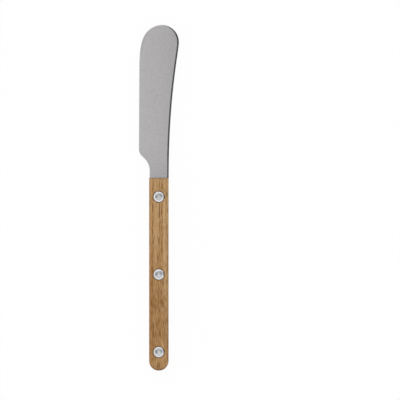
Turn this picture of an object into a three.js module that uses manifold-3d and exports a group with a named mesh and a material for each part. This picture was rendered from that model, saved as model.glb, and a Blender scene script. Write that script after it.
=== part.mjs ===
// A small spreading knife: a round-tipped steel blade with a full tang, riveted between two wooden scales.
// Millimetres, +Z up. The knife lies flat with its tip towards +Y and its spreading edge towards -X.
// Drawn from the handle's front end and the tang's middle plane, then placed over its origin.

import * as THREE from "three";
import { mergeVertices } from "three/addons/utils/BufferGeometryUtils.js";
import Module from "manifold-3d";

// Handle
const handleLength = 91.8;
const handleWidth = 9.3;
const scaleThickness = 3.1;
const shoulderRun = 1.7; // how far the round-over reaches in from the handle's side
const shoulderDrop = 1.6; // how far it comes down from the handle's face
const glueLine = 0.05; // between each scale and the tang

// Blade outline, as seen from the front
const bladeLength = 73.2; // from the handle to the tip
const heelOffset = 9.6; // from the handle's axis to the spreading edge, at the heel
const edgeTaper = 0.17; // the edge draws in this much from the heel to where it starts to curve
const tipRadius = 8.2;
const tipOffset = 1.38; // the tip's centre lies this far to the spine side of the handle's axis
const tipArcEnd = 110; // degrees from the spine side to where the tip runs out into the edge
const tipSweep = 24.5; // the edge starts to curve this far behind the tip
const tipSweepPull = 8.4; // how strongly that curve leaves the tip
const edgeSweepPull = 12.8; // and how strongly it runs into the edge
const spineNeckPull = 39; // the spine's long hollow curve, at the neck
const spineTipPull = 4.6; // and at the tip
const neckLength = 3.65; // the straight neck below the choil
const neckEdgeInset = 0.21; // the neck lies inside the handle's side at the edge
const neckSpineProud = 0.05; // and stands proud at the spine, where the handle was ground to its outline
const neckStep = 0.5; // length of the small step between handle and neck
const choilRadius = 7.6; // hollow curve out of the neck
const choilAngle = 45; // degrees, slope of the ramp between hollow and heel
const heelRadius = 4.5;

// Blade section
const stockThickness = 1.8; // tang and neck
const heelThickness = 0.7; // at the spreading edge, by the heel
const tipThickness = 1.1; // at the very tip
const spineBevel = 1; // width of the bevel along the spine, on each face
const edgeBevel = 0.25; // width of the small bevel around the rest of the blade
const tangBevel = 0.1; // width of the eased corners of the tang, which is ground flush with the wood
const bevelAngle = 34; // degrees, from the face down
const bevelShare = 0.85; // the most of the steel's half thickness that a bevel takes where the blade is thin
const bevelFade = 0.7; // how far the rim has to face the spine side, from 0 to 1, for the spine's full bevel

// Two-part rivets: a sleeve from the front and a post from the back
const rivetNames = ["neck_rivet", "middle_rivet", "butt_rivet"];
const rivetInset = 8.87; // from each end of the handle to the nearest rivet
const rivetHeadRadius = 2.45;
const rivetHeadSeat = 0.8; // depth of the head's seat in the wood
const rivetHeadProud = 0.5; // how far the head stands out of the wood
const rivetHeadFlat = 0.5; // radius of the small flat on top of the domed head
const rivetHeadDome = 0.5; // height of the dome from its foot to that flat
const rivetBarrelRadius = 1.6;
const rivetPostRadius = 1.05;
const rivetBoreWall = 0.8; // solid metal between the front head and the end of the sleeve's bore
const rivetLeadIn = 0.25; // chamfer on the post's point
const rivetEndGap = 0.35; // past the end of the sleeve and past the post's point
const headClearance = 0.15;
const seatClearance = 0.05;
const barrelClearance = 0.1;
const postClearance = 0.05;

// How finely curves are cut into flats
const buttSteps = 12;
const choilSteps = 7;
const straightSteps = 3;
const sweepSteps = 20;
const tipSteps = 4;
const domeSteps = 6;
const shoulderSteps = 7;
const latheSides = 32;
const curveTolerance = 1e-6; // of the spine curve's length, when a height is looked up on it

// Places worked out from the sizes above
const handleHalf = handleWidth / 2;
const buttCentre = handleHalf - handleLength;
const faceHeight = stockThickness / 2 + glueLine + scaleThickness;
const neckEdge = handleHalf - neckEdgeInset;
const neckSpine = handleHalf + neckSpineProud;
const tipCentre = bladeLength - tipRadius;
const spineReach = tipOffset + tipRadius;
const sweepOffset = heelOffset - edgeTaper;
const headTop = faceHeight + rivetHeadProud;
const rivetPitch = (handleLength - 2 * rivetInset) / (rivetNames.length - 1);
const rivetPlaces = rivetNames.map((_, i) => -rivetInset - i * rivetPitch);

const steel = new THREE.MeshStandardMaterial({ color: "#adabac", roughness: 0.3, metalness: 1 });
const wood = new THREE.MeshStandardMaterial({ color: "#a8825a", roughness: 0.55, metalness: 0 });
const polishedSteel = new THREE.MeshStandardMaterial({ color: "#d6d5d2", roughness: 0.14, metalness: 1 });

const wasm = await Module();
wasm.setup();

// Turns a closed geometry into a solid that can be cut.
function toSolid(geometry) {
  const bare = geometry.clone().deleteAttribute("normal").deleteAttribute("uv");
  const merged = mergeVertices(bare);
  return new wasm.Manifold(
    new wasm.Mesh({
      numProp: 3,
      vertProperties: new Float32Array(merged.attributes.position.array),
      triVerts: new Uint32Array(merged.index.array),
    }),
  );
}

// Turns a cut solid back into a geometry.
function toGeometry(solid) {
  const mesh = solid.getMesh();
  const geometry = new THREE.BufferGeometry();
  geometry.setAttribute("position", new THREE.BufferAttribute(new Float32Array(mesh.vertProperties), 3));
  geometry.setIndex(new THREE.BufferAttribute(new Uint32Array(mesh.triVerts), 1));
  return geometry;
}

// A round cutter along Z between two heights, at a place along the handle.
function roundCutter(radius, low, high, place) {
  const cutter = new THREE.CylinderGeometry(radius, radius, high - low, latheSides);
  cutter.rotateX(Math.PI / 2).translate(0, place, (low + high) / 2);
  return toSolid(cutter);
}

// The points of curves laid end to end.
function pointsAlong(curves) {
  const points = curves.flatMap(({ curve, steps }) => curve.getPoints(steps).slice(0, -1));
  return [...points, curves.at(-1).curve.getPoint(1)];
}

// A plate whose rim follows an outline. Each station has an outline point on the left and one on the right,
// and the first and last station may be single points. Each level places a ring: its inset draws an outline
// point in along its inward normal, and its height lifts the point from there.
function plate(stations, levels) {
  const closed = stations.map(({ left, right }) => left.distanceTo(right) === 0);
  const rightSide = stations.map(({ right }) => right);
  const leftSide = stations.map(({ left }) => left).filter((_, i) => !closed[i]).reverse();
  const outline = [...rightSide, ...leftSide];
  const count = outline.length;

  const normals = outline.map((_, i) => {
    const ahead = outline[(i + 1) % count];
    const behind = outline[(i + count - 1) % count];
    const along = ahead.clone().sub(behind).normalize();
    return new THREE.Vector2(-along.y, along.x);
  });
  const positions = levels.flatMap((level) =>
    outline.flatMap((point, i) => {
      const drawnIn = point.clone().addScaledVector(normals[i], level.inset(point, normals[i]));
      return [drawnIn.x, drawnIn.y, level.height(drawnIn, normals[i])];
    }),
  );

  const faces = [];
  for (let ring = 0; ring + 1 < levels.length; ring++) {
    for (let i = 0; i < count; i++) {
      const next = (i + 1) % count;
      const [a, b] = [ring * count + i, ring * count + next];
      faces.push(a, b, b + count, a, b + count, a + count);
    }
  }
  const top = (levels.length - 1) * count;
  const leftIndex = (i) => (closed[i] ? i : count - i - (closed[0] ? 0 : 1));
  for (let i = 0; i + 1 < stations.length; i++) {
    const [a, b, c, d] = [i, i + 1, leftIndex(i + 1), leftIndex(i)];
    if (b !== c) faces.push(top + a, top + b, top + c, a, c, b);
    if (a !== d) faces.push(top + a, top + c, top + d, a, d, c);
  }

  const geometry = new THREE.BufferGeometry();
  geometry.setAttribute("position", new THREE.Float32BufferAttribute(positions, 3));
  geometry.setIndex(faces);
  return geometry;
}

const radians = THREE.MathUtils.degToRad;
const line = (from, to) => new THREE.LineCurve(from, to);
const arc = (x, y, radius, start, end) =>
  new THREE.EllipseCurve(x, y, radius, radius, radians(start), radians(end), end < start);
const point = (x, y) => new THREE.Vector2(x, y);

// The handle's half round end and its straight side up to a height, on the edge side.
const buttCurves = (end) => [
  { curve: arc(0, buttCentre, handleHalf, 270, 180), steps: buttSteps },
  { curve: line(point(-handleHalf, buttCentre), point(-handleHalf, end)), steps: straightSteps },
];

// The choil's hollow and the heel's round, with a ramp between them.
const choilTurn = radians(choilAngle);
const choilEnd = point(
  -neckEdge - choilRadius * (1 - Math.cos(choilTurn)),
  neckLength + choilRadius * Math.sin(choilTurn),
);
const heelStartX = -heelOffset + heelRadius * (1 - Math.cos(choilTurn));
const rampRise = (choilEnd.x - heelStartX) * Math.tan(choilTurn);
const heelStart = point(heelStartX, choilEnd.y + rampRise);
const heelHeight = heelStart.y + heelRadius * Math.sin(choilTurn);

// The blade's outline on the edge side, from the tang's butt to the top of the tip: step, neck, hollow choil,
// ramp, heel, straight edge and the curve into the round tip.
function edgeSide() {
  const heelEnd = point(-heelOffset, heelHeight);
  const sweepStart = point(-sweepOffset, bladeLength - tipSweep);
  const tipTurn = radians(tipArcEnd);
  const sweepEnd = point(
    tipOffset + tipRadius * Math.cos(tipTurn),
    tipCentre + tipRadius * Math.sin(tipTurn),
  );
  const sweepPull = point(
    sweepEnd.x - tipSweepPull * Math.sin(tipTurn),
    sweepEnd.y + tipSweepPull * Math.cos(tipTurn),
  );
  const edgePull = sweepStart.clone().sub(heelEnd).setLength(edgeSweepPull).add(sweepStart);
  return pointsAlong([
    ...buttCurves(0),
    { curve: line(point(-handleHalf, 0), point(-neckEdge, neckStep)), steps: 1 },
    { curve: line(point(-neckEdge, neckStep), point(-neckEdge, neckLength)), steps: straightSteps },
    { curve: arc(-neckEdge - choilRadius, neckLength, choilRadius, 0, choilAngle), steps: choilSteps },
    { curve: line(choilEnd, heelStart), steps: straightSteps },
    { curve: arc(heelRadius - heelOffset, heelHeight, heelRadius, 180 + choilAngle, 180), steps: choilSteps },
    { curve: line(heelEnd, sweepStart), steps: straightSteps },
    { curve: new THREE.CubicBezierCurve(sweepStart, edgePull, sweepPull, sweepEnd), steps: sweepSteps },
    { curve: arc(tipOffset, tipCentre, tipRadius, tipArcEnd, 90), steps: tipSteps },
  ]);
}

// The spine's curve from the neck to the side of the tip, hollow along the blade.
const spineCurve = new THREE.CubicBezierCurve(
  point(neckSpine, neckStep),
  point(neckSpine, neckStep + spineNeckPull),
  point(spineReach, tipCentre - spineTipPull),
  point(spineReach, tipCentre),
);

// How far the outline reaches to the spine side at a height.
function spineAt(y) {
  if (y <= buttCentre) return Math.sqrt(Math.max(0, handleHalf ** 2 - (y - buttCentre) ** 2));
  if (y <= 0) return handleHalf;
  if (y < neckStep) return THREE.MathUtils.mapLinear(y, 0, neckStep, handleHalf, neckSpine);
  if (y >= tipCentre) return tipOffset + Math.sqrt(Math.max(0, tipRadius ** 2 - (y - tipCentre) ** 2));
  let [low, high] = [0, 1];
  while (high - low > curveTolerance) {
    const middle = (low + high) / 2;
    if (spineCurve.getPoint(middle).y < y) low = middle;
    else high = middle;
  }
  return spineCurve.getPoint(low).x;
}

// Half the steel's thickness. The tang and neck are flat stock. Past the neck each face turns into a flat
// plane that thins evenly from spine to edge and from neck to tip.
const edgeLoss = (stockThickness - heelThickness) / 2;
const tipLoss = (stockThickness - tipThickness) / 2;
const edgeRun = neckSpine + heelOffset;
const tipRun = neckSpine - tipOffset;
const thinAcross =
  (edgeLoss * bladeLength - tipLoss * heelHeight) / (edgeRun * bladeLength - tipRun * heelHeight);
const thinAlong = (tipLoss - thinAcross * tipRun) / bladeLength;

function halfThickness({ x, y }) {
  const blend = THREE.MathUtils.smoothstep(y, neckStep, heelHeight);
  return stockThickness / 2 - blend * (thinAcross * (neckSpine - x) + thinAlong * y);
}

// Blade, neck and tang: one flat piece of steel with a bevelled rim and a hole for each rivet.
function makeBlade() {
  const stations = edgeSide().map((left, i, all) => {
    const atEnd = i === 0 || i === all.length - 1;
    return { left, right: atEnd ? left : point(spineAt(left.y), left.y) };
  });
  const bevelSlope = Math.tan(radians(bevelAngle));
  const bevelRun = (place, inward) => {
    const onSpine = THREE.MathUtils.smoothstep(-inward.x, 0, bevelFade);
    const onBlade = THREE.MathUtils.smoothstep(place.y, 0, neckStep);
    const bladeBevel = THREE.MathUtils.lerp(edgeBevel, spineBevel, onSpine);
    const wanted = THREE.MathUtils.lerp(tangBevel, bladeBevel, onBlade);
    return Math.min(wanted, (bevelShare * halfThickness(place)) / bevelSlope);
  };
  const face = (side) => ({
    inset: bevelRun,
    height: (place) => side * halfThickness(place),
  });
  const rim = (side) => ({
    inset: () => 0,
    height: (place, inward) => side * (halfThickness(place) - bevelSlope * bevelRun(place, inward)),
  });
  const through = stockThickness;
  const blank = toSolid(plate(stations, [face(-1), rim(-1), rim(1), face(1)]));
  const drilled = rivetPlaces.reduce(
    (steelPlate, place) =>
      steelPlate.subtract(roundCutter(rivetBarrelRadius + barrelClearance, -through, through, place)),
    blank,
  );
  const mesh = new THREE.Mesh(toGeometry(drilled), steel);
  mesh.name = "blade_with_tang";
  return mesh;
}

// One scale of the handle, lying on the tang: a strip with a round butt and rounded shoulders, cut square at
// the front, with a stepped hole for each rivet. Its inner face is at height 0.
function makeScaleGeometry() {
  const overrun = 2 * shoulderRun; // past the front, for the cut to leave a square end
  const stations = pointsAlong(buttCurves(overrun)).map((left, i) => ({
    left,
    right: i === 0 ? left : point(-left.x, left.y),
  }));
  const wall = scaleThickness - shoulderDrop;
  const shoulder = Array.from({ length: shoulderSteps + 1 }, (_, i) => (i * Math.PI) / 2 / shoulderSteps);
  const levels = [
    { inset: () => 0, height: () => 0 },
    ...shoulder.map((turn) => ({
      inset: () => shoulderRun * (1 - Math.cos(turn)),
      height: () => wall + shoulderDrop * Math.sin(turn),
    })),
  ];
  const front = new THREE.BoxGeometry(2 * handleWidth, 2 * overrun, 4 * scaleThickness);
  front.translate(0, overrun, 0);
  const strip = toSolid(plate(stations, levels)).subtract(toSolid(front));
  const seat = scaleThickness - rivetHeadSeat;
  const past = 2 * scaleThickness;
  const drilled = rivetPlaces.reduce(
    (scale, place) =>
      scale
        .subtract(roundCutter(rivetBarrelRadius + barrelClearance, -past, past, place))
        .subtract(roundCutter(rivetHeadRadius + headClearance, seat, past, place)),
    strip,
  );
  return toGeometry(drilled);
}

// Heights on a rivet below its head's top, from the tang's middle plane.
const headUnder = faceHeight - rivetHeadSeat + seatClearance;
const sleeveEnd = rivetEndGap - headUnder;
const boreEnd = headUnder - rivetBoreWall;
const postPoint = boreEnd - rivetEndGap;

// The profile of a rivet's head, from its flat top over the shallow round dome to its underside.
function headProfile() {
  const domeRun = rivetHeadRadius - rivetHeadFlat;
  const domeRadius = (domeRun ** 2 + rivetHeadDome ** 2) / (2 * rivetHeadDome);
  const domeEnd = THREE.MathUtils.radToDeg(Math.acos(domeRun / domeRadius));
  const dome = arc(rivetHeadFlat, headTop - domeRadius, domeRadius, 90, domeEnd);
  return [point(0, headTop), ...dome.getPoints(domeSteps), point(rivetHeadRadius, headUnder)];
}

// A turned piece from its profile, read from the top of the axis to its foot.
function turned(profile) {
  return new THREE.LatheGeometry(profile.reverse(), latheSides).rotateX(Math.PI / 2);
}

function makeSleeveGeometry() {
  const bore = rivetPostRadius + postClearance;
  return turned([
    ...headProfile(),
    point(rivetBarrelRadius, headUnder),
    point(rivetBarrelRadius, sleeveEnd),
    point(bore, sleeveEnd),
    point(bore, boreEnd),
    point(0, boreEnd),
  ]);
}

function makePostGeometry() {
  return turned([
    ...headProfile(),
    point(rivetPostRadius, headUnder),
    point(rivetPostRadius, rivetLeadIn - postPoint),
    point(rivetPostRadius - rivetLeadIn, -postPoint),
    point(0, -postPoint),
  ]);
}

function placed(name, geometry, material, height = 0, place = 0) {
  const mesh = new THREE.Mesh(geometry, material);
  mesh.name = name;
  mesh.position.set(0, place, height);
  return mesh;
}

const frontHalf = new THREE.Group();
const backHalf = new THREE.Group();
backHalf.rotation.y = Math.PI;

const scaleGeometry = makeScaleGeometry();
const scaleHeight = stockThickness / 2 + glueLine;
frontHalf.add(placed("front_scale", scaleGeometry, wood, scaleHeight));
backHalf.add(placed("back_scale", scaleGeometry, wood, scaleHeight));

const sleeveGeometry = makeSleeveGeometry();
const postGeometry = makePostGeometry();
rivetPlaces.forEach((place, i) => {
  frontHalf.add(placed(`${rivetNames[i]}_sleeve`, sleeveGeometry, polishedSteel, 0, place));
  backHalf.add(placed(`${rivetNames[i]}_post`, postGeometry, polishedSteel, 0, place));
});

// The knife rests on its back rivet heads. The origin lies on that surface, under the middle of length and
// width.
const knife = new THREE.Group();
knife.position.set((heelOffset - spineReach) / 2, (handleLength - bladeLength) / 2, headTop);
knife.add(makeBlade(), frontHalf, backHalf);

const part = new THREE.Group();
part.add(knife);

export default part;
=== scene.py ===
"""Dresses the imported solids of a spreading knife: satin steel blade, oiled teak handle, polished rivets."""

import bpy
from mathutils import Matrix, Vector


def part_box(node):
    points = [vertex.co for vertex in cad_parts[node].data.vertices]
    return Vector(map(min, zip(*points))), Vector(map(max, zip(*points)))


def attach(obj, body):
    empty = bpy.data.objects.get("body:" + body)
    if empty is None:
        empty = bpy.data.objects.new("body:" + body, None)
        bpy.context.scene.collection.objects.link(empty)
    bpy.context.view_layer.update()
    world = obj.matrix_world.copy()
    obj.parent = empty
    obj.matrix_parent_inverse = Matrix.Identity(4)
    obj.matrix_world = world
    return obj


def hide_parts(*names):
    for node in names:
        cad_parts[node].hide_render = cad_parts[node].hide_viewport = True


bl_info = {
    "name": "Round-tipped spreading knife",
    "version": (1, 0, 0),
    "blender": (4, 5, 0),
    "location": "View3D > Sidebar > Knife",
    "description": "Builds the finished blade, handle and rivets around the knife's packed solids",
    "category": "Object",
}

import math
from functools import partial

import bmesh
import bpy
import numpy as np
from bpy.props import FloatProperty, FloatVectorProperty, PointerProperty
from mathutils import Vector
from mathutils.geometry import interpolate_bezier

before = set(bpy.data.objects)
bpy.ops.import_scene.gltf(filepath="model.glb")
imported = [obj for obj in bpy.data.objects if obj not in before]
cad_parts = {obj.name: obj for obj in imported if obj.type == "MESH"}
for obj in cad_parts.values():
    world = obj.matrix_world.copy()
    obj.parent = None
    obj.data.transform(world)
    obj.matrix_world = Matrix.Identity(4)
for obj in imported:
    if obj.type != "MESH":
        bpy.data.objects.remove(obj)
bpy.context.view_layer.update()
MM = 0.001

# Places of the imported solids. The knife is drawn around the middle of the handle's front end, halfway
# through the tang.
SCALE_LOW, SCALE_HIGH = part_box("front_scale")
BLADE_LOW, BLADE_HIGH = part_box("blade_with_tang")
HANDLE_HALF = (SCALE_HIGH.x - SCALE_LOW.x) / 2
HANDLE_LENGTH = SCALE_HIGH.y - SCALE_LOW.y
BLADE_LENGTH = BLADE_HIGH.y - SCALE_HIGH.y
STOCK = BLADE_HIGH.z - BLADE_LOW.z
ORIGIN = Vector((SCALE_LOW.x + HANDLE_HALF, SCALE_HIGH.y, (BLADE_LOW.z + BLADE_HIGH.z) / 2))
SCALE_FOOT = SCALE_LOW.z - ORIGIN.z
SCALE_FACE = SCALE_HIGH.z - ORIGIN.z
RIVETS = ("neck_rivet", "middle_rivet", "butt_rivet")

# Sizes that the solids fix: the blade's outline and thickness, and the rivets with their holes. Angles are
# in degrees.
HEEL_OFFSET = 9.6 * MM
EDGE_TAPER = 0.17 * MM
TIP_RADIUS = 8.2 * MM
TIP_OFFSET = 1.38 * MM
TIP_ARC_END = 110
TIP_SWEEP = 24.5 * MM
TIP_SWEEP_PULL = 8.4 * MM
EDGE_SWEEP_PULL = 12.8 * MM
SPINE_NECK_PULL = 39 * MM
SPINE_TIP_PULL = 4.6 * MM
NECK_LENGTH = 3.65 * MM
NECK_EDGE = HANDLE_HALF - 0.21 * MM
NECK_SPINE = HANDLE_HALF + 0.05 * MM
NECK_STEP = 0.5 * MM
CHOIL_RADIUS = 7.6 * MM
CHOIL_ANGLE = 45
HEEL_RADIUS = 4.5 * MM
HEEL_THICKNESS = 0.7 * MM
TIP_THICKNESS = 1.1 * MM
TIP_CENTRE = BLADE_LENGTH - TIP_RADIUS
BUTT_CENTRE = HANDLE_HALF - HANDLE_LENGTH
CHOIL_SINE, CHOIL_COSINE = math.sin(math.radians(CHOIL_ANGLE)), math.cos(math.radians(CHOIL_ANGLE))
RAMP_RUN = HEEL_OFFSET - NECK_EDGE - (CHOIL_RADIUS + HEEL_RADIUS) * (1 - CHOIL_COSINE)
RAMP_RISE = RAMP_RUN * CHOIL_SINE / CHOIL_COSINE
HEEL_HEIGHT = NECK_LENGTH + (CHOIL_RADIUS + HEEL_RADIUS) * CHOIL_SINE + RAMP_RISE
HEAD_RADIUS = 2.45 * MM
HEAD_SEAT = 0.8 * MM
HEAD_CLEARANCE = 0.15 * MM
SEAT_CLEARANCE = 0.05 * MM
BARREL_RADIUS = 1.6 * MM
HOLE_RADIUS = 1.7 * MM
BORE_RADIUS = 1.1 * MM
BORE_WALL = 0.8 * MM
POST_RADIUS = 1.05 * MM
POST_LEAD_IN = 0.25 * MM

# The largest share of the half thickness that a bevel takes.
BEVEL_SHARE = 0.85

# Edges that turn more than this stay sharp.
SHARP_ANGLE = math.radians(35)

# Sockets of the Mix node when it mixes colours.
MIX_SHARE, MIX_FIRST, MIX_SECOND, MIX_RESULT = 0, 6, 7, 2


def linear(hex_colour):
    """An sRGB hex colour as linear red, green and blue."""
    channels = (int(hex_colour[i : i + 2], 16) / 255 for i in (0, 2, 4))
    return tuple(c / 12.92 if c <= 0.04045 else ((c + 0.055) / 1.055) ** 2.4 for c in channels)


def grey(level):
    """An opaque grey."""
    return (level, level, level, 1)


def length(name, description, millimetres):
    """A length that a user may change."""
    return FloatProperty(
        name=name, description=description, default=millimetres * MM, min=0, unit="LENGTH", precision=5
    )


def colour(name, description, hex_colour):
    """A colour that a user may change."""
    opaque = (*linear(hex_colour), 1)
    return FloatVectorProperty(
        name=name, description=description, default=opaque, min=0, max=1, size=4, subtype="COLOR"
    )


class KnifeBladeSettings(bpy.types.PropertyGroup):
    """Sizes and finish of the blade, neck and tang"""
    bevel_run: length("Spine bevel run", "Width of the bevel along the spine, seen from above", 0.85)
    bevel_drop: length("Spine bevel drop", "Height of that bevel", 0.573)
    neck_bevel: length("Neck bevel", "Width of the spine's bevel at the neck", 0.72)
    edge_bevel: length("Edge bevel", "Width of the small bevel on the edge side", 0.25)
    tang_bevel: length("Tang bevel", "Width of the eased corners of the tang", 0.1)
    corner_ease: length("Corner ease", "Softening of the bevels' corners", 0.04)
    crown: length("Crown", "Bulge of each face between the spine and the edge", 0.06)
    steel: colour("Steel", "Colour of the satin steel at the spine", "b8b6b7")
    # Painted light: the steel's colour is made lighter towards the edge.
    edge_steel_with_painted_light: colour("Steel with painted light at the edge", "Colour of the steel at the edge, brightened by use", "cecccd")
    # Painted shade: the steel is made darker over this distance from the handle.
    painted_shade_reach: length("Painted shade reach", "How far the steel beside the handle stays duller", 10)
    grain_size: length("Grain size", "Size of the satin finish's grain", 1.1)
    grain_depth: length("Grain depth", "Depth of the satin finish's grain", 0.002)


class KnifeHandleSettings(bpy.types.PropertyGroup):
    """Sizes and grain of the two scales"""
    shoulder_run: length("Shoulder run", "How far the round-over reaches in from the side", 1.7)
    shoulder_drop: length("Shoulder drop", "How far the round-over comes down from the face", 1.6)
    front_ease: length("Front ease", "Rounding of the scale's front edge", 0.3)
    seam_ease: length("Seam ease", "Rounding of the edge next to the tang", 0.08)
    light_wood: colour("Light wood", "Colour of the pale fibres", "c39e70")
    dark_wood: colour("Dark wood", "Colour of the dark fibres", "8b5e2b")
    pore: colour("Pores", "Colour in the open pores", "54361b")
    end_grain: colour("End grain", "Colour where the fibres end and take up more oil", "6b4a2c")
    band_width: length("Band width", "Width of the growth bands", 1.1)
    band_length: length("Band length", "Length of the growth bands", 80)
    band_start: length("Band start", "Distance from the butt at which the bands begin to show", 22.5)
    band_full: length("Full bands", "Distance from the front at which the bands show in full", 4.3)
    cloud_width: length("Cloud width", "Width of the paler and darker clouds", 5)
    cloud_length: length("Cloud length", "Length of the paler and darker clouds", 12)
    fibre_width: length("Fibre width", "Width of the short fibres", 0.28)
    fibre_length: length("Fibre length", "Length of the short fibres", 3)
    pore_width: length("Pore width", "Width of the pores", 0.42)
    pore_length: length("Pore length", "Length of the pores", 4)
    relief: length("Relief", "Depth of the pores and fibres", 0.05)
    # The darker ring round the rivets is painted shade where their heads meet the wood, with some polishing
    # dirt.
    shade_and_dirt_width: length("Shade and dirt width", "How far the polishing dirt reaches from the rivets' holes", 0.55)
    shade_and_dirt_patch: length("Shade and dirt patch", "Size of the patches in the polishing dirt", 1.2)


class KnifeRivetSettings(bpy.types.PropertyGroup):
    """Sizes and finish of the rivets"""
    head_flat: length("Head flat", "Radius of the flat on top of the head", 0.5)
    head_dome: length("Head dome", "Height of the domed head", 0.5)
    metal: colour("Metal", "Colour of the polished metal", "c7c8ca")
    dent_size: length("Dent size", "Size of the shallow marks left by setting and polishing", 1.1)
    dent_depth: length("Dent depth", "Depth of these marks", 0.17)
    scuff_width: length("Scuff width", "Width of the duller scuffs", 0.25)
    scuff_length: length("Scuff length", "Length of the duller scuffs", 0.9)


class KnifeStageSettings(bpy.types.PropertyGroup):
    """Floor and camera"""
    floor: colour("Floor", "Colour of the floor", "efefef")
    floor_reach: length("Floor reach", "Distance from the middle of the floor to its sides", 3000)
    camera_height: length("Camera height", "Distance from the camera to the blade", 5000)
    frame_width: length("Frame width", "Width of the picture at the blade", 190.94)
    centre: FloatVectorProperty(
        name="Picture centre",
        description="Point of the knife's frame under the camera",
        default=(19.65 * MM, -1.1 * MM),
        size=2,
        unit="LENGTH",
        precision=5,
    )


def add_node(tree, kind, inputs=(), output=0, **settings):
    """Adds a shader node with its settings and returns one of its outputs. The inputs, in order or by key,
    take values or other nodes' outputs."""
    node = tree.nodes.new(f"ShaderNode{kind}")
    for name, value in settings.items():
        setattr(node, name, value)
    for key, value in inputs.items() if isinstance(inputs, dict) else enumerate(inputs):
        if isinstance(value, bpy.types.NodeSocket):
            tree.links.new(value, node.inputs[key])
        else:
            node.inputs[key].default_value = value
    return node.outputs[output] if node.outputs else None


def new_material(name):
    """A material with an empty tree, and the function that adds nodes to it."""
    material = bpy.data.materials.new(name)
    material.use_nodes = True
    material.node_tree.nodes.clear()
    return material, partial(add_node, material.node_tree)


def streaks(node, width, run, detail=0, seed=0):
    """Noise drawn out along the knife: width across it and run along it, in metres."""
    place = node("TexCoord", output="Object")
    mapped = node("Mapping", {"Vector": place, "Scale": (1 / width, 1 / run, 1 / width)})
    inputs = {"Vector": mapped, "W": seed, "Scale": 1, "Detail": detail}
    return node("TexNoise", inputs, noise_dimensions="4D")


def rivet_centre(name):
    """The point on a rivet's axis that lies halfway through the tang."""
    low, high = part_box(f"{name}_sleeve")
    return Vector(((low.x + high.x) / 2, (low.y + high.y) / 2, ORIGIN.z))


def satin_stainless(settings):
    """Stainless steel, ground and tumbled to a satin finish: soft grey with a faint fine grain, with painted
    light that makes it a little brighter towards the edge, and painted shade that darkens it beside the
    handle."""
    material, node = new_material("Stainless steel, tumbled satin")
    place = node("TexCoord", output="Object")
    across, along = (node("SeparateXYZ", (place,), axis) for axis in "XY")
    # MapRange takes a value, the range that it lies in, and the range that it goes to, or else 0 to 1.
    spineward = node("MapRange", (across, BLADE_LOW.x, BLADE_HIGH.x))
    # Painted light: the colour grows lighter from the spine towards the edge.
    mixed = {MIX_SHARE: spineward, MIX_FIRST: settings.edge_steel_with_painted_light, MIX_SECOND: settings.steel}
    tint = node("Mix", mixed, MIX_RESULT, data_type="RGBA")
    # Painted shade: the steel's colour darkens towards the handle's front end.
    darkest_painted_shade = 0.88
    corner = (along, SCALE_HIGH.y, SCALE_HIGH.y + settings.painted_shade_reach, darkest_painted_shade, 1)
    corner = node("MapRange", corner, interpolation_type="SMOOTHSTEP")
    # The real grain is some 0.05 mm. It is drawn coarser, to show at the picture's size.
    grain = streaks(node, settings.grain_size, settings.grain_size, detail=4)
    shade = node("Math", (corner, node("MapRange", (grain, 0.3, 0.7, 1, 0.92))), operation="MULTIPLY")
    tint = node("VectorMath", {0: tint, "Scale": shade}, operation="SCALE")
    roughness = node("MapRange", (grain, 0.3, 0.7, 0.24, 0.27))
    bump = node("Bump", {"Height": grain, "Strength": 0.2, "Distance": settings.grain_depth})
    shader = {"Base Color": tint, "Metallic": 1, "Roughness": roughness, "Normal": bump}
    node("OutputMaterial", (node("BsdfPrincipled", shader),))
    return material


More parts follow.
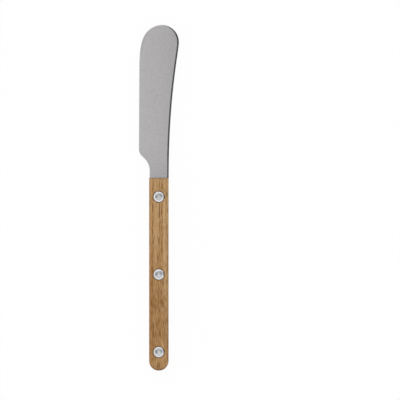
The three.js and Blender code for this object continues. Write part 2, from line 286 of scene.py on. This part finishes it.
def oiled_teak(settings):
    """Teak, sanded along the grain and oiled: warm brown with growth bands, short fibres, dark pores and
    darker end grain."""
    material, node = new_material("Teak, sanded and oiled")
    place = node("TexCoord", output="Object")
    across, along = (node("SeparateXYZ", (place,), axis) for axis in "XY")

    # The growth bands run out of the face towards the butt, and the wood gets a little darker there. The
    #     wood is made paler towards the spine as painted light, which lifts the shade that the dark cards
    #     cast on that side. The seeds are those whose bands and clouds lie most like the real ones.
    upper = (along, SCALE_LOW.y + settings.band_start, SCALE_HIGH.y - settings.band_full)
    upper = node("MapRange", upper, interpolation_type="SMOOTHSTEP")
    spine_side_painted_light = node("MapRange", (across, ORIGIN.x, SCALE_HIGH.x), interpolation_type="SMOOTHSTEP")
    bands = streaks(node, settings.band_width, settings.band_length, detail=1, seed=878)
    bands = node("Math", (bands, 0.5), operation="SUBTRACT")
    bands = node("Math", (bands, node("MapRange", (upper, 0, 1, 0.3, 1))), operation="MULTIPLY")
    clouds = streaks(node, settings.cloud_width, settings.cloud_length, detail=1, seed=682)
    # Real fibres are some 0.03 mm wide and real pores some 0.25 mm. Both are drawn coarser, to show at the
    # picture's size.
    fibres = streaks(node, settings.fibre_width, settings.fibre_length, detail=4, seed=692)
    pores = streaks(node, settings.pore_width, settings.pore_length, seed=327)
    pores = node("MapRange", (pores, 0.6, 0.74, 0, 0.6), interpolation_type="SMOOTHSTEP")
    tone = fibres
    for pattern, weight in ((bands, 0.92), (clouds, 0.25), (upper, 0.085), (spine_side_painted_light, 0.06)):
        tone = node("Math", (pattern, weight, tone), operation="MULTIPLY_ADD")
    darkest, palest = 0.455, 0.87
    pale = node("MapRange", (tone, darkest, palest))

    # The wood is darker in a ring round the rivets' holes: painted shade where the heads meet the wood,
    #     with some polishing dirt. The rivets are evenly spaced, so one wrapped place serves all of them.
    first, second = (rivet_centre(name) for name in RIVETS[:2])
    pitch = first.y - second.y
    beside = node("Math", (along, first.y + pitch / 2, first.y - pitch / 2), operation="WRAP")
    beside = node("CombineXYZ", (across, beside))
    ring = node("VectorMath", (beside, first.xy.to_3d()), "Value", operation="DISTANCE")
    hole = HEAD_RADIUS + HEAD_CLEARANCE
    shade_and_dirt = node("MapRange", (ring, hole, hole + settings.shade_and_dirt_width, 1, 0), interpolation_type="SMOOTHSTEP")
    patches = streaks(node, settings.shade_and_dirt_patch, settings.shade_and_dirt_patch, detail=1, seed=4)
    patches = node("MapRange", (patches, 0.35, 0.65, 0.4, 1))
    shade_and_dirt = node("Math", (shade_and_dirt, patches), operation="MULTIPLY")

    # Surfaces that face along the knife show end grain.
    facing = node("SeparateXYZ", (node("TexCoord", output="Normal"),), "Y")
    endwise = node("Math", (facing,), operation="ABSOLUTE")
    endwise = node("MapRange", (endwise, 0.25, 0.95, 0, 0.85), interpolation_type="SMOOTHSTEP")

    layers = (
        (pale, settings.light_wood),
        (pores, settings.pore),
        (shade_and_dirt, settings.pore),
        (endwise, settings.end_grain),
    )
    wood = settings.dark_wood
    for cover, tint in layers:
        mixed = {MIX_SHARE: cover, MIX_FIRST: wood, MIX_SECOND: tint}
        wood = node("Mix", mixed, MIX_RESULT, data_type="RGBA")

    relief = node("Math", (0, pores), operation="SUBTRACT")
    relief = node("Math", (fibres, 0.4, relief), operation="MULTIPLY_ADD")
    bump = node("Bump", {"Height": relief, "Strength": 0.4, "Distance": settings.relief})
    roughness = node("MapRange", (tone, 0.4, 1, 0.72, 0.62))
    shader = {"Base Color": wood, "Roughness": roughness, "Specular IOR Level": 0.25, "Normal": bump}
    node("OutputMaterial", (node("BsdfPrincipled", shader),))
    return material


def polished_rivet_steel(settings):
    """Rivet steel, turned, set and polished: a bright mirror with shallow marks that break up what it
    reflects."""
    material, node = new_material("Rivet steel, polished")
    dents = streaks(node, settings.dent_size, settings.dent_size, detail=1)
    # Real scuffs are hair fine. They are drawn coarser, to show at the picture's size.
    scuffs = streaks(node, settings.scuff_width, settings.scuff_length, detail=2, seed=1)
    roughness = node("MapRange", (scuffs, 0.35, 0.7, 0.1, 0.22))
    bump = node("Bump", {"Height": dents, "Strength": 0.5, "Distance": settings.dent_depth})
    shader = {"Base Color": settings.metal, "Metallic": 1, "Roughness": roughness, "Normal": bump}
    node("OutputMaterial", (node("BsdfPrincipled", shader),))
    return material


def white_floor(settings):
    """Paper, matt white. The camera and the metal see it lit through to white, with the knife's soft
    shadow."""
    material, node = new_material("Paper, matt white")
    seen = node("LightPath", output="Is Camera Ray")
    for other in ("Is Glossy Ray", "Is Transmission Ray"):
        seen = node("Math", (seen, node("LightPath", output=other)), operation="MAXIMUM")
    paper = node("BsdfDiffuse", (settings.floor,))
    # A little of the paper's own shading carries the shadow, and the glow lifts the rest to white.
    kept_shading = 0.05
    faint = (*(kept_shading * c for c in settings.floor[:3]), 1)
    glow = node("Emission", {"Strength": 0.956})
    lit = node("AddShader", (node("BsdfDiffuse", (faint,)), glow))
    node("OutputMaterial", (node("MixShader", (seen, paper, lit)),))
    return material


def turned_mesh(name, profile, sides=96):
    """A piece turned about Z. The profile lists radius and height from one end of the axis to the other."""
    work = bmesh.new()
    points = [work.verts.new((radius, 0, height)) for radius, height in profile]
    lines = [work.edges.new(pair) for pair in zip(points, points[1:])]
    bmesh.ops.spin(work, geom=points + lines, axis=(0, 0, 1), angle=2 * math.pi, steps=sides)
    bmesh.ops.remove_doubles(work, verts=work.verts, dist=0.001 * MM)
    bmesh.ops.recalc_face_normals(work, faces=work.faces)
    mesh = bpy.data.meshes.new(name)
    work.to_mesh(mesh)
    work.free()
    return mesh


def plate_mesh(name, left, right, section, tip=None, face=None, columns=1):
    """A plate whose rim follows an outline. left and right run from the butt, which they share, to the far
    end, and tip is the point where they meet there, if they do. section gives the rim's profile at an
    outline point with its inward direction, as pairs of inset and height from the lower face to the upper
    one. Inside the rim the faces run straight across, or in columns at the half thickness that face gives."""
    outline = np.array([*reversed(left[1:]), *right, *([tip] if tip else [])])
    if tip:
        along = np.roll(outline, -1, axis=0) - np.roll(outline, 1, axis=0)
    else:
        along = np.gradient(outline, axis=0)
    along /= np.linalg.norm(along, axis=1, keepdims=True)
    inward = np.stack((-along[:, 1], along[:, 0]), axis=1)
    sections = np.array([section(*pair) for pair in zip(outline, inward)])
    flat = outline[:, None] + inward[:, None] * sections[..., :1]
    rim = np.concatenate((flat, sections[..., 1:]), axis=2)
    count, levels = rim.shape[:2]
    points = rim.reshape(-1, 3).tolist()

    def at(i, level):
        return i % count * levels + level

    faces = [
        (at(i, k), at(i + 1, k), at(i + 1, k + 1), at(i, k + 1))
        for i in range(count)
        for k in range(levels - 1)
    ]
    sides = len(left) - 1
    for level, up in ((levels - 1, 1), (0, -1)):
        rows = [[at(sides, level)] * (columns + 1)]
        for i in reversed(range(sides)):
            start, end = at(i, level), at(2 * sides - i, level)
            near_side, far_side = Vector(points[start]), Vector(points[end])
            inner = [near_side.lerp(far_side, c / columns) for c in range(1, columns)]
            rows.append([start, *range(len(points), len(points) + len(inner)), end])
            points += [(p.x, p.y, up * face(p.x, p.y)) for p in inner]
        if tip:
            rows.append([at(2 * sides + 1, level)] * (columns + 1))
        for near, far in zip(rows, rows[1:]):
            for c in range(columns):
                corners = dict.fromkeys((near[c], near[c + 1], far[c + 1], far[c]))
                faces.append([*corners][::up])
    mesh = bpy.data.meshes.new(name)
    mesh.from_pydata(points, [], faces)
    return mesh


def new_piece(name, mesh, place):
    """An object whose mesh is moved to its place, so that its own coordinates are those of the frame."""
    for vertex in mesh.vertices:
        vertex.co += place
    piece = bpy.data.objects.new(name, mesh)
    bpy.context.scene.collection.objects.link(piece)
    return piece


def drill(piece, profile):
    """Cuts a turned hole of this profile out of a piece at each rivet."""
    cutters = [new_piece("drill", turned_mesh("drill", profile), rivet_centre(name)) for name in RIVETS]
    for cutter in cutters:
        piece.modifiers.new("drill", "BOOLEAN").object = cutter
    cut = bpy.data.meshes.new_from_object(piece.evaluated_get(bpy.context.evaluated_depsgraph_get()))
    piece.modifiers.clear()
    piece.data = cut
    for cutter in cutters:
        bpy.data.objects.remove(cutter)


def finish_piece(piece, node, material):
    """Smooths the piece's shading, gives it its material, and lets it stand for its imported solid."""
    piece.data.materials.clear()
    piece.data.materials.append(material)
    piece.data.shade_smooth()
    piece.data.set_sharp_from_angle(angle=SHARP_ANGLE)
    piece.modifiers.new("flat faces stay flat", "WEIGHTED_NORMAL").keep_sharp = True
    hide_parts(node)
    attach(piece, "root")


def fractions(steps):
    """Even steps from 0 to 1."""
    return [i / steps for i in range(steps + 1)]


def arc(x, y, radius, start, end, steps):
    """Points on an arc between two angles in degrees."""
    turns = [math.radians(start + (end - start) * t) for t in fractions(steps)]
    return [(x + radius * math.cos(turn), y + radius * math.sin(turn)) for turn in turns]


def straight(start, end, steps):
    """Points on a straight line."""
    return [tuple(Vector(start).lerp(Vector(end), t)) for t in fractions(steps)]


def curve(start, pull, end_pull, end, steps):
    """Points on a curve that leaves its start towards one pull and reaches its end from the other."""
    knots = map(Vector, (start, pull, end_pull, end))
    return [tuple(point) for point in interpolate_bezier(*knots, steps + 1)]


def end_to_end(*runs):
    """Joins runs of points, each of which starts where the one before it ends."""
    return runs[0] + [point for run in runs[1:] for point in run[1:]]


def eased_corner(before, corner, after, ease, steps=4):
    """Points that round a corner, starting and ending at a distance of ease from it."""
    before, corner, after = map(Vector, (before, corner, after))
    start = corner + (before - corner).normalized() * ease
    end = corner + (after - corner).normalized() * ease
    return [tuple(start.lerp(corner, t).lerp(corner.lerp(end, t), t)) for t in fractions(steps)]


def butt_outline(end):
    """The handle's round end and straight side, on the edge side."""
    round_end = arc(0, BUTT_CENTRE, HANDLE_HALF, 270, 180, steps=32)
    side = straight((-HANDLE_HALF, BUTT_CENTRE), (-HANDLE_HALF, end), steps=24)
    return end_to_end(round_end, side)


def edge_outline():
    """The blade's outline on the edge side, from the tang's butt to the tip."""
    choil = arc(-NECK_EDGE - CHOIL_RADIUS, NECK_LENGTH, CHOIL_RADIUS, 0, CHOIL_ANGLE, steps=24)
    heel = arc(HEEL_RADIUS - HEEL_OFFSET, HEEL_HEIGHT, HEEL_RADIUS, 180 + CHOIL_ANGLE, 180, steps=24)
    tip = arc(TIP_OFFSET, TIP_CENTRE, TIP_RADIUS, TIP_ARC_END, 90, steps=16)
    tip_turn = math.radians(TIP_ARC_END)
    sweep_start = Vector((EDGE_TAPER - HEEL_OFFSET, BLADE_LENGTH - TIP_SWEEP))
    edge_pull = sweep_start + EDGE_SWEEP_PULL * (sweep_start - Vector(heel[-1])).normalized()
    tip_pull = Vector(tip[0]) + TIP_SWEEP_PULL * Vector((-math.sin(tip_turn), math.cos(tip_turn)))
    sweep = curve(sweep_start, edge_pull, tip_pull, tip[0], steps=80)
    return end_to_end(
        butt_outline(0),
        straight((-HANDLE_HALF, 0), (-NECK_EDGE, NECK_STEP), steps=3),
        straight((-NECK_EDGE, NECK_STEP), choil[0], steps=10),
        choil,
        straight(choil[-1], heel[0], steps=6),
        heel,
        straight(heel[-1], sweep_start, steps=30),
        sweep,
        tip,
    )


def spine_outline():
    """The blade's outline on the spine side, from the tang's butt to the tip."""
    reach = TIP_OFFSET + TIP_RADIUS
    neck = (NECK_SPINE, NECK_STEP)
    neck_pull = (NECK_SPINE, NECK_STEP + SPINE_NECK_PULL)
    tip_pull = (reach, TIP_CENTRE - SPINE_TIP_PULL)
    return end_to_end(
        [(-x, y) for x, y in butt_outline(0)],
        [(HANDLE_HALF, 0), neck],
        curve(neck, neck_pull, tip_pull, (reach, TIP_CENTRE), steps=300),
        arc(TIP_OFFSET, TIP_CENTRE, TIP_RADIUS, 0, 90, steps=200),
    )


def smooth_step(value, low, high):
    """0 up to low and 1 from high on, with a smooth rise between them."""
    share = min(1, max(0, (value - low) / (high - low)))
    return share * share * (3 - 2 * share)


def blend(start, end, share):
    """The value at this share of the way from start to end."""
    return start + share * (end - start)


def half_thickness(x, y, crown):
    """Half the steel's thickness: flat stock in the tang and neck, then thinning to the edge and the tip,
    with each face a little crowned between the spine and the edge."""
    edge_loss, tip_loss = (STOCK - HEEL_THICKNESS) / 2, (STOCK - TIP_THICKNESS) / 2
    edge_run, tip_run = NECK_SPINE + HEEL_OFFSET, NECK_SPINE - TIP_OFFSET
    # Slopes of the plane that gives the heel and the tip their thickness.
    across = edge_loss * BLADE_LENGTH - tip_loss * HEEL_HEIGHT
    across /= edge_run * BLADE_LENGTH - tip_run * HEEL_HEIGHT
    along = (tip_loss - across * tip_run) / BLADE_LENGTH
    run = NECK_SPINE - x
    bulge = 4 * crown * run * (edge_run - run) / edge_run**2
    return STOCK / 2 - smooth_step(y, NECK_STEP, HEEL_HEIGHT) * (across * run + along * y - bulge)


class KNIFE_OT_make_blade(bpy.types.Operator):
    """Builds the blade with its neck and tang, bevelled all round and drilled for the rivets"""

    bl_idname = "knife.make_blade"
    bl_label = "Make the blade"

    def execute(self, context):
        settings = context.scene.knife_blade

        def half(x, y):
            return half_thickness(x, y, settings.crown)

        def section(point, inward):
            # The bevel is widest along the spine and narrower at the neck. It runs out into the edge's small
            # bevel round the tip, and into the tang's at the handle.
            past_neck = smooth_step(point[1], NECK_LENGTH, HEEL_HEIGHT)
            run = blend(settings.neck_bevel, settings.bevel_run, past_neck)
            run = blend(settings.edge_bevel, run, smooth_step(-inward[0], 0, 1))
            run = blend(settings.tang_bevel, run, smooth_step(point[1], 0, NECK_STEP / 3))
            slope = settings.bevel_drop / settings.bevel_run
            run = min(run, BEVEL_SHARE * half(*point) / slope)
            drop, ease = run * slope, min(run / 2, settings.corner_ease)
            wall, low, high, flat = (0, 2 * drop), (0, drop), (run, 0), (2 * run, 0)
            rim = eased_corner(wall, low, high, ease) + eased_corner(low, high, flat, ease)
            upper = [(inset, half(*(point + inward * inset)) - depth) for inset, depth in rim]
            return [(inset, -height) for inset, height in reversed(upper)] + upper

        *left, tip = edge_outline()
        spine = np.array(spine_outline())
        right = [left[0]] + [(float(np.interp(y, spine[:, 1], spine[:, 0])), y) for _, y in left[1:]]
        # An odd number of columns keeps their lines off the rivets' axis, where the holes would split them.
        mesh = plate_mesh("finished_blade", left, right, section, tip, half, columns=13)
        blade = new_piece("finished_blade", mesh, ORIGIN)
        drill(blade, [(0, STOCK), (HOLE_RADIUS, STOCK), (HOLE_RADIUS, -STOCK), (0, -STOCK)])
        finish_piece(blade, "blade_with_tang", satin_stainless(settings))
        return {"FINISHED"}


class KNIFE_OT_make_scales(bpy.types.Operator):
    """Builds the two wooden scales with rounded shoulders and stepped rivet holes"""

    bl_idname = "knife.make_scales"
    bl_label = "Make the scales"

    def execute(self, context):
        settings = context.scene.knife_handle
        run, drop, ease = settings.shoulder_run, settings.shoulder_drop, settings.front_ease

        def section(point, side):
            # At the front the rim draws in along a quarter circle, which eases the edge there.
            forward = max(0, (point[1] + ease) / ease)
            pulled = ease * (1 - math.sqrt(max(0, 1 - forward * forward)))
            seam = eased_corner((run, SCALE_FOOT), (0, SCALE_FOOT), (0, SCALE_FACE), settings.seam_ease)
            profile = [(inset + pulled, height) for inset, height in seam]
            # The shoulder is a quarter of an ellipse.
            for t in fractions(16):
                cosine, sine = math.cos(t * math.pi / 2), math.sin(t * math.pi / 2)
                out = Vector((cosine / run, sine / drop)).normalized() * pulled
                profile.append((run * (1 - cosine) + out.x, SCALE_FACE - drop * (1 - sine) - out.y))
            return profile if side > 0 else [(inset, -height) for inset, height in reversed(profile)]

        side_line = butt_outline(-ease)
        front = [(-HANDLE_HALF, ease * (math.sin(t * math.pi / 2) - 1)) for t in fractions(6)]
        left = end_to_end(side_line, front)
        right = [(-x, y) for x, y in left]
        seat = SCALE_FACE - HEAD_SEAT
        seat_radius = HEAD_RADIUS + HEAD_CLEARANCE
        past = 2 * SCALE_FACE
        hole = [
            (0, past),
            (seat_radius, past),
            (seat_radius, seat),
            (HOLE_RADIUS, seat),
            (HOLE_RADIUS, 0),
            (0, 0),
        ]
        material = oiled_teak(settings)
        for node, side in (("front_scale", 1), ("back_scale", -1)):
            name = f"finished_{node}"
            mesh = plate_mesh(name, left, right, lambda point, inward: section(point, side))
            scale = new_piece(name, mesh, ORIGIN)
            drill(scale, [(radius, side * height) for radius, height in hole])
            finish_piece(scale, node, material)
        return {"FINISHED"}


class KNIFE_OT_make_rivets(bpy.types.Operator):
    """Builds the two-part rivets: a sleeve with the front head and a post with the back head"""

    bl_idname = "knife.make_rivets"
    bl_label = "Make the rivets"

    def execute(self, context):
        settings = context.scene.knife_rivets
        material = polished_rivet_steel(settings)
        under = SCALE_FACE - HEAD_SEAT + SEAT_CLEARANCE
        bore_end = under - BORE_WALL
        for rivet in RIVETS:
            centre = rivet_centre(rivet)
            sleeve_low, sleeve_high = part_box(f"{rivet}_sleeve")
            top, sleeve_end = sleeve_high.z - ORIGIN.z, sleeve_low.z - ORIGIN.z
            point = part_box(f"{rivet}_post")[1].z - ORIGIN.z
            dome_run = HEAD_RADIUS - settings.head_flat
            dome_radius = (dome_run**2 + settings.head_dome**2) / (2 * settings.head_dome)
            dome_end = math.degrees(math.acos(dome_run / dome_radius))
            dome = arc(settings.head_flat, top - dome_radius, dome_radius, 90, dome_end, steps=24)
            head = [(0, top), *dome, (HEAD_RADIUS, under)]
            sleeve = head + [
                (BARREL_RADIUS, under),
                (BARREL_RADIUS, sleeve_end),
                (BORE_RADIUS, sleeve_end),
                (BORE_RADIUS, bore_end),
                (0, bore_end),
            ]
            post = head + [
                (POST_RADIUS, under),
                (POST_RADIUS, POST_LEAD_IN - point),
                (POST_RADIUS - POST_LEAD_IN, -point),
                (0, -point),
            ]
            # The post comes from the back.
            post = [(radius, -height) for radius, height in post]
            for node, profile in ((f"{rivet}_sleeve", sleeve), (f"{rivet}_post", post)):
                piece = new_piece(f"finished_{node}", turned_mesh(node, profile), centre)
                finish_piece(piece, node, material)
        return {"FINISHED"}


class KNIFE_OT_set_stage(bpy.types.Operator):
    """Lays the floor, lights it like a light tent, and hangs the camera over the knife"""

    bl_idname = "knife.set_stage"
    bl_label = "Set the stage"

    def execute(self, context):
        settings = context.scene.knife_stage
        scene = context.scene
        scene.view_settings.view_transform = "Standard"

        work = bmesh.new()
        bmesh.ops.create_grid(work, x_segments=4, y_segments=4, size=settings.floor_reach)
        mesh = bpy.data.meshes.new("floor")
        work.to_mesh(mesh)
        work.free()
        mesh.materials.append(white_floor(settings))
        floor = bpy.data.objects.new("floor", mesh)
        scene.collection.objects.link(floor)

        self.light_tent(scene)

        camera = bpy.data.cameras.new("camera")
        camera.lens = camera.sensor_width * settings.camera_height / settings.frame_width
        camera.clip_end = 2 * settings.camera_height
        holder = bpy.data.objects.new("camera", camera)
        holder.location = (*settings.centre, ORIGIN.z + settings.camera_height)
        scene.collection.objects.link(holder)
        scene.camera = holder
        return {"FINISHED"}

    def light_tent(self, scene):
        """White walls around a greyer top, with two dark cards low on the spine's side, the second one
        towards the tip, two gaps beside the camera and a brighter panel on the butt's side of it."""
        world = bpy.data.worlds.new("light tent")
        world.use_nodes = True
        world.node_tree.nodes.clear()
        node = partial(add_node, world.node_tree)
        direction = node("TexCoord", output="Generated")
        from_top = node("Math", (node("SeparateXYZ", (direction,), "Z"),), operation="ARCCOSINE")
        light = node("ValToRGB", (node("Math", (from_top, math.pi / 2), operation="DIVIDE"),))
        # Brightness by the angle from straight up, in degrees. The ramp comes with a stop at each end.
        stops = light.node.color_ramp.elements
        stops[0].color = grey(0.89)
        stops[1].color = grey(0.95)
        for angle, level in ((30, 0.88), (50, 1.4), (70, 1.16)):
            stops.new(angle / 90).color = grey(level)

        # Flattened upright and raised, so that the dark cards are wide and stand low above the floor.
        flattened = node("VectorMath", (direction, (1, 1, 2.5), (0, 0, -1)), operation="MULTIPLY_ADD")
        flattened = node("VectorMath", (flattened,), operation="NORMALIZE")
        # Each card is drawn in plain or flattened directions. It has the azimuth and elevation of its middle,
        # the angles from there at which it begins to fade and ends, and the number that multiplies its light.
        # They stand in the docstring's order.
        cards = (
            (flattened, 6, 0, 32, 42, 0.05),
            (flattened, 58, 0, 12, 34, 0.12),
            (direction, 176, 66, 7, 23, 0.5),
            (direction, 37, 67, 9, 25, 0.6),
            (direction, 270, 81, 3, 12, 1.3),
        )
        level = 1
        for view, azimuth, elevation, inner, outer, shade in cards:
            turn, rise = math.radians(azimuth), math.radians(elevation)
            aim = (math.cos(turn) * math.cos(rise), math.sin(turn) * math.cos(rise), math.sin(rise))
            near = node("VectorMath", (view, aim), "Value", operation="DOT_PRODUCT")
            reach = (near, math.cos(math.radians(outer)), math.cos(math.radians(inner)), 1, shade)
            card = node("MapRange", reach, interpolation_type="SMOOTHSTEP")
            level = node("Math", (level, card), operation="MULTIPLY")
        node("OutputWorld", (node("Background", (light, level)),))
        scene.world = world


class KNIFE_PT_panel(bpy.types.Panel):
    """Lists the knife's settings and the steps that build it"""

    bl_idname = "KNIFE_PT_panel"
    bl_label = "Spreading knife"
    bl_space_type = "VIEW_3D"
    bl_region_type = "UI"
    bl_category = "Knife"

    def draw(self, context):
        for step, group in STEPS.items():
            box = self.layout.box()
            settings = getattr(context.scene, group)
            for name in settings.__annotations__:
                box.prop(settings, name)
            box.operator(step)


STEPS = {
    "knife.set_stage": "knife_stage",
    "knife.make_blade": "knife_blade",
    "knife.make_scales": "knife_handle",
    "knife.make_rivets": "knife_rivets",
}
GROUPS = {
    "knife_stage": KnifeStageSettings,
    "knife_blade": KnifeBladeSettings,
    "knife_handle": KnifeHandleSettings,
    "knife_rivets": KnifeRivetSettings,
}
CLASSES = (
    *GROUPS.values(),
    KNIFE_OT_set_stage,
    KNIFE_OT_make_blade,
    KNIFE_OT_make_scales,
    KNIFE_OT_make_rivets,
    KNIFE_PT_panel,
)


def register():
    for cls in CLASSES:
        bpy.utils.register_class(cls)
    for name, group in GROUPS.items():
        setattr(bpy.types.Scene, name, PointerProperty(type=group))


def unregister():
    for name in GROUPS:
        delattr(bpy.types.Scene, name)
    for cls in reversed(CLASSES):
        bpy.utils.unregister_class(cls)


def main():
    register()
    bpy.ops.knife.set_stage()
    bpy.ops.knife.make_blade()
    bpy.ops.knife.make_scales()
    bpy.ops.knife.make_rivets()


if __name__ == "__main__":
    main()
